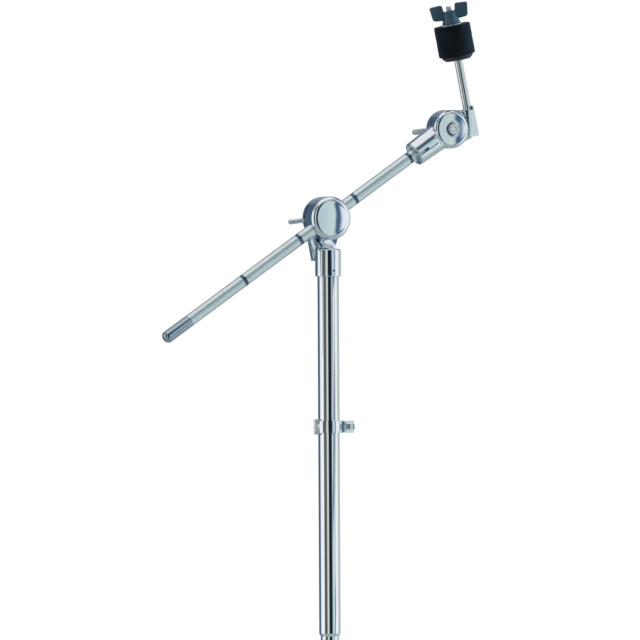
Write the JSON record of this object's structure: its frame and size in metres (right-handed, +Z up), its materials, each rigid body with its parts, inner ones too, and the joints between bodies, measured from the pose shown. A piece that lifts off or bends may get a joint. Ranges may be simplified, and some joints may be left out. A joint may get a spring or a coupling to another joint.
{
  "type": "cymbal boom stand upper section",
  "caption": "Chrome down tube with a tilter that clamps a knurled boom rod; a small tilter at its end carries a spindle with felts and a wing nut.",
  "frame": {"origin": "on the down tube's axis, where its full diameter starts just above the swaged end", "axes": "+Z up the down tube, +X to the side that the boom's cymbal end points to, +Y to the side of the T-handles"},
  "size_m": [0.3636, 0.0536, 0.6653],
  "materials": {
    "chrome": "bright plated",
    "knurled_chrome": "knurled and plated",
    "bright_steel": "plated fasteners",
    "friction_fibre": "pressed fibre",
    "black_felt": "dense felt",
    "black_seat": "moulded",
    "sleeve_nylon": "moulded",
    "dark_slate": "die cast, dark blue-grey coated"
  },
  "bodies": {
    "tube_base": {"down_tube": "chrome", "tilter_base": "chrome", "socket_pin": "bright_steel", "friction_washer": "friction_fibre", "tilter_washer": "bright_steel"},
    "memory_lock": {"lock_near_jaw": "chrome", "lock_far_jaw": "chrome", "lock_hinge_pin": "bright_steel", "lock_key_bolt": "bright_steel", "lock_nut": "bright_steel"},
    "tilter_rotor": {"clamp_rotor": "chrome", "eye_bolt": "bright_steel"},
    "tilter_handle": {"tilter_handle_hub": "bright_steel", "tilter_handle_bar": "bright_steel"},
    "boom": {"boom_rod": "knurled_chrome", "boom_end_cap": "chrome"},
    "cymbal_tilter_base": {"head_socket": "chrome", "head_friction_washer": "friction_fibre", "head_washer": "bright_steel", "head_key_screw": "bright_steel"},
    "cymbal_tilter": {"spindle_half": "chrome", "head_bolt": "bright_steel", "cymbal_spindle": "bright_steel", "spindle_thread": "bright_steel", "seat_washer": "black_seat", "spindle_sleeve": "sleeve_nylon", "lower_felt": "black_felt"},
    "cymbal_handle": {"head_handle_hub": "bright_steel", "head_handle_bar": "bright_steel"},
    "upper_seat": {"upper_felt": "black_felt", "top_washer": "bright_steel"},
    "wing_nut": {"wing_nut": "dark_slate"}
  },
  "joints": [
    {"name": "boom_tilt", "type": "hinge", "parent": "tube_base", "child": "tilter_rotor", "pos_m": [0, 0, 0.4288], "axis": [0, -1, 0], "range_deg": [-87, 21]},
    {"name": "tilter_handle_turn", "type": "hinge", "parent": "tilter_rotor", "child": "tilter_handle", "pos_m": [0, 0, 0.4288], "axis": [0, 1, 0], "continuous": true},
    {"name": "boom_slide", "type": "slide", "parent": "tilter_rotor", "child": "boom", "axis": [0.8363, 0, 0.5483], "range_m": [-0.075, 0.19]},
    {"name": "head_roll", "type": "hinge", "parent": "boom", "child": "cymbal_tilter_base", "pos_m": [0.1405, 0, 0.52091], "axis": [0.8363, 0, 0.5483], "continuous": true},
    {"name": "cymbal_tilt", "type": "hinge", "parent": "cymbal_tilter_base", "child": "cymbal_tilter", "pos_m": [0.1405, 0, 0.52091], "axis": [0, -1, 0], "range_deg": [-58, 60]},
    {"name": "cymbal_handle_turn", "type": "hinge", "parent": "cymbal_tilter", "child": "cymbal_handle", "pos_m": [0.1405, 0, 0.52091], "axis": [0, 1, 0], "continuous": true},
    {"name": "felt_lift", "type": "slide", "parent": "cymbal_tilter", "child": "upper_seat", "axis": [-0.1977, 0, 0.9803], "range_m": [0, 0.012]},
    {"name": "wing_nut_spin", "type": "hinge", "parent": "upper_seat", "child": "wing_nut", "pos_m": [0.14286, -0.003, 0.63364], "axis": [-0.1977, 0, 0.9803], "range_deg": [0, 4320]},
    {"name": "memory_lock_slide", "type": "slide", "parent": "tube_base", "child": "memory_lock", "axis": [0, 0, 1], "range_m": [-0.2, 0.14]}
  ],
  "couplings": [
    {"joint": "felt_lift", "follows": "wing_nut_spin", "m_per_rad": 0.00015915}
  ]
}
